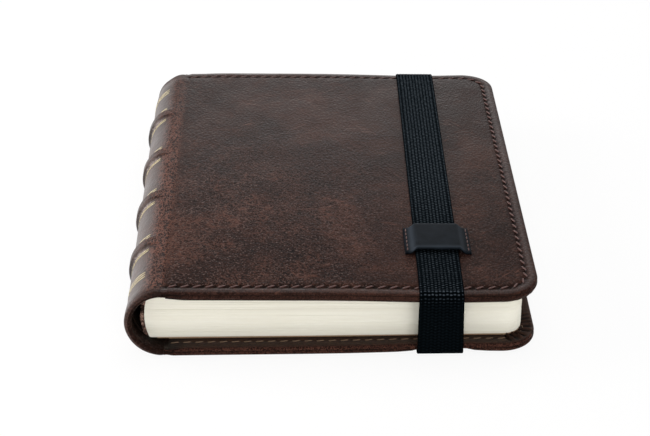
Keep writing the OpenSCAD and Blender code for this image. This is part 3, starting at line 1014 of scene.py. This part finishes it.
def make_spine():
    """Spine leather with its ends rolled and turned in, over a stiff half-round liner, and its gold rules."""
    y = spine_places()
    roll = np.linspace(0, np.pi / 2, 8)[1:]
    tip = y[-1] + (HALF_L - y[-1]) * np.sin(roll)
    side = np.concatenate([-tip[::-1], y, tip])
    rolled = np.concatenate([1 - np.cos(roll[::-1]), 0 * y, 1 - np.cos(roll)])
    t = np.linspace(0, 1, 97)[:, None]
    turn = np.pi * (t - 0.08 * np.sin(2 * np.pi * t))
    outer = spine_radius(turn, side[None])
    turned_in = ease(HALF_L - TURN_IN - 0.6, HALF_L - TURN_IN + 0.6, np.abs(side))
    inner = LINER_R + (HOLLOW_R - LINER_R) * turned_in[None]
    middle = (outer + inner) / 2
    points = there_and_back(*(round_spine(turn, side, radius + (middle - radius) * rolled)
                              for radius in (outer, inner)))
    leather = piece("spine_back", points, swept(points), COVER_LEATHER, "spine", "brown_leather",
                    ["spine_leather"] + BAND_NODES, **spine_fields(turn, side))
    length = np.linspace(-LINER_HALF, LINER_HALF, 40)
    shell = there_and_back(*(round_spine(turn, length, radius) for radius in (LINER_R - 0.05, HOLLOW_R)))
    # The liner is in near-black board, painted shade of the hollow.
    liner = piece("spine_lining", shell, swept(shell), HOLLOW_SHADE_BOARD, "spine", "board", ["spine_liner"])
    return [leather, liner, make_gold()]


def make_gold():
    """Gold rules in pairs beside each band and in threes near head and tail: thin strips on the leather."""
    turn = np.linspace(RULE_FREE, np.pi - RULE_FREE, 80)[:, None]
    corners = np.array([[-1, 0.07], [1, 0.07], [1, -0.25], [-1, -0.25]])
    taper = np.sqrt(ease(RULE_FREE - 0.02, RULE_FREE + 0.08, np.minimum(turn, np.pi - turn)))
    strips = []
    for i, middle in enumerate(gold_places()):
        width = RULE_HALF * (1 + 0.15 * waves(40 * turn, 0 * turn, 60 + i, 3)) * taper
        y = middle + width * corners[:, 0] + 0.04 * waves(30 * turn, 0 * turn, 90 + i, 9)
        strips.append(round_spine(turn, y, spine_radius(turn, y) + corners[:, 1]))
    wear = 0.14 * bump(turn - np.pi / 2, 0.7) + 0 * corners[:, 0]
    return piece("gold_lines", np.stack(strips), repeated(strips[0], len(strips)), GOLD, "spine", "gold",
                 ["gold_rules"], crisp=30, wear=np.tile(wear.ravel(), len(strips)))


# Book block

def page_path(fold_x):
    """A leaf's three free edges as corner centres and outward directions, from fold to fold."""
    run = shares(34)
    far_x = PAGE_FORE - PAGE_CORNER
    return three_edges(run, shares(12), run, fold_x, far_x, PAGE_HALF - PAGE_CORNER)[1:]


def wedged(z, x):
    """Height of a leaf in the closed book, which is a little thinner at the fore edge than at the folds."""
    share = (x - FOLD_X) / (PAGE_FORE - FOLD_X)
    return BLOCK_LOW + (z - BLOCK_LOW) * (1 - LEAF_WEDGE * np.clip(share, 0, 1))


def fold_line(z):
    """Place of the folds at a height: the arc of the rounded back, flattened and set out a little."""
    middle = (BLOCK_LOW + BLOCK_HIGH) / 2
    rise = FOLD_X - BACK_CROWN
    tall = BLOCK_HIGH - middle
    radius = (tall ** 2 + rise ** 2) / (2 * rise)
    round_back = radius - np.sqrt(radius ** 2 - np.minimum(np.abs(z - middle), tall) ** 2)
    return BACK_CROWN - 0.3 + 0.55 * round_back


def make_flyleaf():
    """The loose leaf on top of the block: one sheet with the leaves' outline that lies on them."""
    low, high = node_box("front_flyleaf")
    centres, out = page_path(low[0])
    x, y = (centres + PAGE_CORNER * out).T
    z = np.array([[low[2]], [high[2]]])
    points = xyz(x, y, wedged(z, x))
    piece("front_fly_leaf", points, swept(points), TAN_PAPER, "turned_pages", "endpaper", ["front_flyleaf"])


def make_section(number, low, high, body):
    """One folded section: a stack of leaves whose edges stand in and out a little, round at the fold.

    The section of the stack, a row of small teeth, is carried round the leaf's outline. At the fold each
    height starts where a half-round would, and the faces above and below join tail to head.
    """
    rng = np.random.default_rng(100 + number)
    thick = high[2] - low[2]
    z = ((np.arange(LEAVES)[:, None] + np.array([0.06, 0.5, 0.94])) / LEAVES).ravel() * thick
    z = np.concatenate([[0.0], z, [thick]])[:, None]
    tooth = np.tile([0.03, 0.0, 0.03], LEAVES)
    uneven = np.repeat(rng.uniform(0, 0.08, LEAVES), 3)
    gap = np.repeat((rng.uniform(0, 1, LEAVES) > 0.88) * 0.18, 3) * np.tile([1, 0, 0], LEAVES)
    # Shade of each leaf edge: a random tone per leaf, painted shade in the few gaps where a leaf stands back,
    # and a little darker on the section's top and bottom rows.
    shade = np.repeat(rng.uniform(0, 0.08, LEAVES), 3) + gap * 3
    back = np.concatenate([[0.12], tooth + uneven + gap, [0.12]])[:, None]
    shade = np.concatenate([[0.2], shade, [0.2]])[:, None]
    half = thick / 2
    start = fold_line(low[2] + z) + 0.1 * (half - np.sqrt(np.maximum(half ** 2 - (z - half) ** 2, 0)))
    centres, out = page_path(0.0)
    x, y = centres.T
    far = x.max()
    reach = PAGE_CORNER - back + 0.05 * waves(x + y, 40 * z, 300 + number, 60)
    px = start + (far - start) * x / far + reach * out[:, 0]
    points = xyz(px, y + reach * out[:, 1], wedged(low[2] + z, px))
    near_fold = 0.2 + 0.8 * bump(px - px.min(), 8)
    piece(f"paper_section_{number:02d}", points, swept(points), CREAM_PAPER, body, "paper",
          [f"section_{number:02d}"], crisp=50, leaf=shade * near_fold)


def make_back_cloth(name, low_z, high_z, thick, body, stands_for=()):
    """Fibrous cloth over the rounded back: an arc carried along the fold, with a ragged free face.

    It follows the line of the folds, the rounded back flattened.
    """
    z = np.linspace(low_z, high_z, 20)
    y = np.linspace(-PAGE_HALF + 0.2, PAGE_HALF - 0.2, 360)[:, None]
    ragged = 0.16 * waves(6 * y, 60 * z[None], 7, 9) + 0.12 * waves(20 * y, 90 * z[None], 8, 9)
    base = fold_line(z)
    points = there_and_back(xyz(base - thick - ragged, y, z), xyz(base + 0.35, y, z))
    cloth = piece(name, points, swept(points), CLOTH, body, "back_cloth", stands_for)
    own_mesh(cloth)


def make_block():
    """Paper sections, the loose leaf on top, and the cloth on the folds."""
    for number, (low, high) in enumerate(SECTION_BOXES, 1):
        make_section(number, low, high, "turned_pages" if number >= FIRST_TURNED else "back_case")
    make_flyleaf()
    make_back_cloth("fold_cloth", CLOTH_LOW[2], CLOTH_HIGH[2], 1.3, "back_case", ["back_cloth"])
    turned_low = SECTION_BOXES[FIRST_TURNED - 1][0][2]
    make_back_cloth("turned_fold_cloth", turned_low + 1.4, BLOCK_HIGH - 0.3, 1.2, "turned_pages")


# Closing band

def elastic_path():
    """The elastic's middle line round the book, in Y and Z.

    A rectangle with round corners: over the front cover, down past the head, along the bed in the back cover
    and up past the tail, where it bows out. The run over the front follows the cover's own height.
    Gives the line, its outward directions, the length along it, and how near its two upper bends are.
    """
    half = (ELASTIC_HIGH[1] - ELASTIC_LOW[1]) / 2 - ELASTIC_T / 2 - 0.2
    up = BOOK_T + ELASTIC_T / 2 - HIGH_BEND
    down = ELASTIC_LOW[2] + ELASTIC_T / 2 + LOW_BEND
    run = shares(110)
    side = shares(30)
    arc = shares(10)
    part = np.concatenate([run, 1 + arc, 2 + side, 3 + arc, 4 + run, 5 + arc, 6 + side, 7 + arc])
    knots = np.arange(9)
    radius = np.interp(part, knots, [HIGH_BEND] * 3 + [LOW_BEND] * 4 + [HIGH_BEND] * 2)
    y = (half - radius) * np.interp(part, knots, [-1, 1, 1, 1, 1, -1, -1, -1, -1])
    z = np.interp(part, knots, [up] * 3 + [down] * 4 + [up] * 2)
    turn = np.radians(np.interp(part, knots, [90, 90, 0, 0, -90, -90, -180, -180, -270]))
    out = np.stack([np.cos(turn), np.sin(turn)], -1)
    line = np.stack([y, z], -1) + radius[:, None] * out
    cover = front_outer(np.full_like(y, ELASTIC_X), line[:, 0].clip(-HALF_L, HALF_L), 30.0, 0.0)
    line[:, 1] += ease(-0.2, 1, out[:, 1]) * cover.clip(-0.8, 1)
    line[:, 1] += ease(0, 1, -out[:, 1]) * 0.4 * bump(HALF_L - np.abs(line[:, 0]), 5)
    line[:, 0] -= (0.5 + 0.5 * (1 - line[:, 1] / BOOK_T).clip(0, 1)) * ease(20, HALF_L, -line[:, 0])
    step = np.hypot(*np.diff(line, axis=0, append=line[:1]).T)
    along = np.concatenate([[0], np.cumsum(step)[:-1]])
    bends = [along[np.argmin(np.abs(part - at))] for at in (1.5, 7.5)]
    return line, out, along, np.max([bump(along - bend, 3.6) for bend in bends], axis=0)


def make_elastic():
    """A flat woven ring: its section has lengthwise ribs on the outer face and thin flat selvedges."""
    line, out, along, bend = elastic_path()
    line_y, line_z = line.T[..., None]
    out_y, out_z = out.T[..., None]
    across = np.linspace(-1, 1, 81)
    rib = np.abs(np.sin(np.pi / 2 * RIBS * across / SELVEDGE)) ** 0.7
    rib = np.where(np.abs(across) < SELVEDGE, rib, 0.1 + 0.9 * bump(np.abs(across) - 0.92, 0.04))
    edge = rounded(across, 0.955, 0.92)
    upward = ease(0.3, 0.95, out_z)
    deep = 0.02 + 0.05 * upward
    face = (ELASTIC_T / 2 - deep + deep * rib) * edge
    back = -(ELASTIC_T / 2 - 0.1 + 0.08 * rib) * edge + 0 * deep
    offset = there_and_back(face, back)
    x = np.concatenate([across, across[::-1]]) * ELASTIC_W / 2
    high = np.clip(line_z / BOOK_T, 0, 1)
    wide = 0.96 + 0.05 * (1 - high) * ease(20, HALF_L, -line_y)
    px = ELASTIC_X - 0.25 + wide * x + ELASTIC_SKEW * line_y / HALF_L
    points = xyz(px, line_y + offset * out_y, line_z + offset * out_z - high * lean(px))
    # Painted light: more where the band faces up, and more towards the head; it is stored in the flat field.
    top = upward * (0.62 + 0.38 * ease(-60, 0, line_y))
    band = piece("elastic_ring", points, swept(points, True), ELASTIC, "front_case", "elastic",
                 ["elastic_band"], along=np.repeat(along, len(x)), across=np.tile(x, len(along)),
                 flat=np.repeat(top, len(x)), bend=np.repeat(bend, len(x)),
                 rib=np.tile(np.concatenate([rib, rib[::-1]]), len(along)))
    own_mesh(band)


def make_keeper():
    """A leather loop: a flat crown over the elastic, slopes on both sides and a sewn tab at each end."""
    half_x, half_y, _ = (KEEPER_HIGH - KEEPER_LOW) / 2
    middle_x, middle_y, _ = (KEEPER_HIGH + KEEPER_LOW) / 2 - [0.4, 0, 0]
    rise = KEEPER_HIGH[2] - BOOK_T - KEEPER_T + 0.05
    x = np.linspace(-1, 1, 75)
    wide = x * half_x
    row = half_x - 0.95
    loop = 1 - ease(ELASTIC_W / 2 - 0.8, half_x - 1.7, np.abs(wide))
    under = front_outer(middle_x + wide, np.full_like(wide, middle_y), 30.0, 0.0) + rise * loop
    top = under + KEEPER_T * rounded(x, 0.96, 0.9) - 0.22 * bump(np.abs(wide) - row, 0.45)
    tip = -1 + 0.05 * (1 - np.cos(np.linspace(0, np.pi / 2, 6)))[:-1]
    y = np.concatenate([tip, np.linspace(-0.95, 0.95, 20), -tip[::-1]])[:, None]
    lip = rounded(y, 0.95, 0.95)
    middle = (top + under) / 2
    high = middle + (top - middle) * lip + 0.08 * (1 - y ** 2) * loop
    low = middle + (under - middle) * lip
    plan_x = middle_x + np.concatenate([wide, wide[::-1]])
    points = xyz(plan_x, middle_y + half_y * y, BOOK_T + there_and_back(high, low) - lean(plan_x))
    # Painted highlights on the outer face: on both slopes, stronger on the left, and along the bevelled edges
    # of the crown, stronger on the near side.
    slopes = 0.5 * bump(x + 0.77, 0.08) + 0.3 * bump(x - 0.73, 0.07)
    bevel_highlight = 0.25 * bump(y - 0.94, 0.03) + 0.55 * bump(y + 0.93, 0.07)
    rub = np.concatenate([bevel_highlight * loop + slopes, 0 * low], 1)
    piece("keeper_loop", points, swept(points), KEEPER_LEATHER, "front_case", "black_leather",
          ["band_keeper"], rub=rub.clip(0, 1))
    per_row = 6
    spots = (np.arange(per_row) - (per_row - 1) / 2) * (2 * half_y - 1.4) / per_row
    places = np.array([[middle_x + side * row, middle_y + spot, 0] for side in (-1, 1) for spot in spots])
    places[:, 2] = BOOK_T + np.interp(places[:, 0] - middle_x, wide, top) - lean(places[:, 0])
    headings = np.tile([0.0, 1.0, 0.0], (len(places), 1))
    normals = np.tile([0.0, 0.0, 1.0], (len(places), 1))
    sewn("keeper_sewing", places, headings, normals, -0.15, "front_case", ["keeper_stitches"], 0.62)


# Carried-over nodes

def finish_nodes():
    """Materials of the nodes that keep their own shape."""
    kept = {
        BOARD: ["back_board"],
        TAN_PAPER: ["rear_pastedown", "rear_flyleaf"],
        FOLD_THREAD: ["sewing_threads", "turned_threads"],
    }
    for material, nodes in kept.items():
        for node in nodes:
            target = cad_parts[node]
            if not target.material_slots:
                target.data.materials.append(material)
            for entry in target.material_slots:
                entry.material = material


# Studio

def make_floor():
    """A wide pale floor that keeps the object's shadow."""
    t = np.linspace(-1.5, 1.5, 9)
    points = xyz(t[:, None], t[None], 0).reshape(-1, 3)
    mesh = bpy.data.meshes.new("floor")
    mesh.from_pydata(points.tolist(), [], grid_faces(9, 9)[:, ::-1].tolist())
    pale = Finish("pale_floor")
    mesh.materials.append(pale.surface(Base_Color=(0.9, 0.9, 0.9), Roughness=0.9, Specular_IOR_Level=0.0))
    glow = pale.put("ShaderNodeEmission", (1, 1, 1), 1.0).outputs[0]
    both = pale.put("ShaderNodeMixShader", pale.times(pale.seen(), 0.9), pale.shader.outputs[0], glow)
    pale.fill(pale.tree.nodes["Material Output"], {"Surface": both.outputs[0]})
    floor = bpy.data.objects.new("floor", mesh)
    bpy.context.scene.collection.objects.link(floor)


def soft_light(name, place_m, aim_m, size_m, watts, tint=(1, 1, 1)):
    """A square soft light that faces its aim."""
    data = bpy.data.lights.new(name, "AREA")
    data.color = tint
    data.shape = "SQUARE"
    data.size = size_m
    data.energy = watts
    lamp = bpy.data.objects.new(name, data)
    lamp.location = place_m
    way = np.array(aim_m) - np.array(place_m)
    flat = math.hypot(way[0], way[1])
    lamp.rotation_euler = (math.atan2(flat, -way[2]), 0, math.atan2(-way[0], way[1]))
    bpy.context.scene.collection.objects.link(lamp)


def make_studio():
    """White surroundings, soft lights above, behind the head and on the spine's side, one by the camera."""
    world = bpy.data.worlds.new("white_room")
    world.use_nodes = True
    room = Nodes(world.node_tree)
    room.fill(room.tree.nodes["Background"], {
        "Color": (1, 1, 1), "Strength": room.spread(room.seen(), 0.0, 1.0, 0.55, 1.0)})
    bpy.context.scene.world = world
    soft_light("light_above", (0.05, 0.35, 0.85), (0, 0, 0), 0.8, 3.0)
    soft_light("light_behind", (0.0, 0.75, 0.2), (0, 0.05, 0.02), 0.4, 0.42)
    soft_light("light_spine_side", (-0.8, 0.1, 0.3), (0, 0, 0.01), 0.5, 6.0, (1, 0.92, 0.9))
    soft_light("light_front", (0.1, -0.95, 0.4), (0, 0, 0.01), 0.6, 3.4)


def make_camera():
    """The camera at the photograph's angle."""
    data = bpy.data.cameras.new("camera")
    data.lens = 95.685
    data.sensor_width = 36.0
    data.clip_start = 0.01
    camera = bpy.data.objects.new("camera", data)
    camera.location = (-0.01211, -0.5862, 0.33996)
    camera.rotation_euler = (math.radians(60.198), 0, math.radians(-1.166))
    bpy.context.scene.collection.objects.link(camera)
    bpy.context.scene.camera = camera


make_camera()
make_studio()
make_floor()
make_covers()
make_cover_sewing()
for spine_piece in make_spine():
    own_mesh(spine_piece)
make_block()
make_elastic()
make_keeper()
finish_nodes()

bpy.context.scene.view_settings.view_transform = "Standard"
